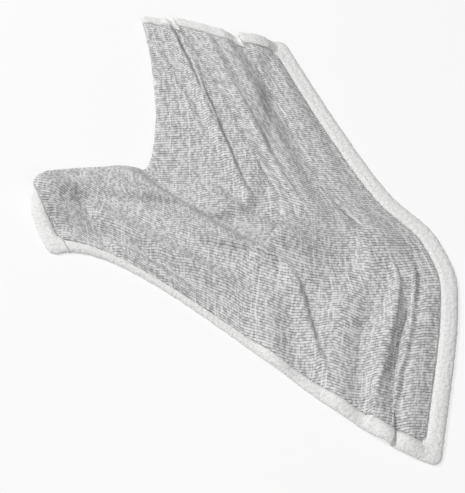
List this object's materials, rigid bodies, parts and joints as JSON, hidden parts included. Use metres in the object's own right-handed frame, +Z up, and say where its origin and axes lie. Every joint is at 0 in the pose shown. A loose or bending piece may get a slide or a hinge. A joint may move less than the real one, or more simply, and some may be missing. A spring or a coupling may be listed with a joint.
{
  "type": "sherpa blanket",
  "caption": "Throw blanket laid out on a floor, pleated narrow at the head and fanned out to its hem, with a woven grey face and a plump sherpa back turned over as its border.",
  "frame": {"origin": "middle of the ground that the blanket covers, on the floor", "axes": "+Z up from the floor, +Y from the hem towards the pleated head, +X towards the edge that shows its border all the way"},
  "size_m": [1.2114, 1.4576, 0.0731],
  "materials": {
    "sherpa": "matte curly pile",
    "woven_face": "matte heathered weave"
  },
  "bodies": {
    "root": {"sherpa_backing": "sherpa", "face_panel": "woven_face"}
  },
  "joints": []
}
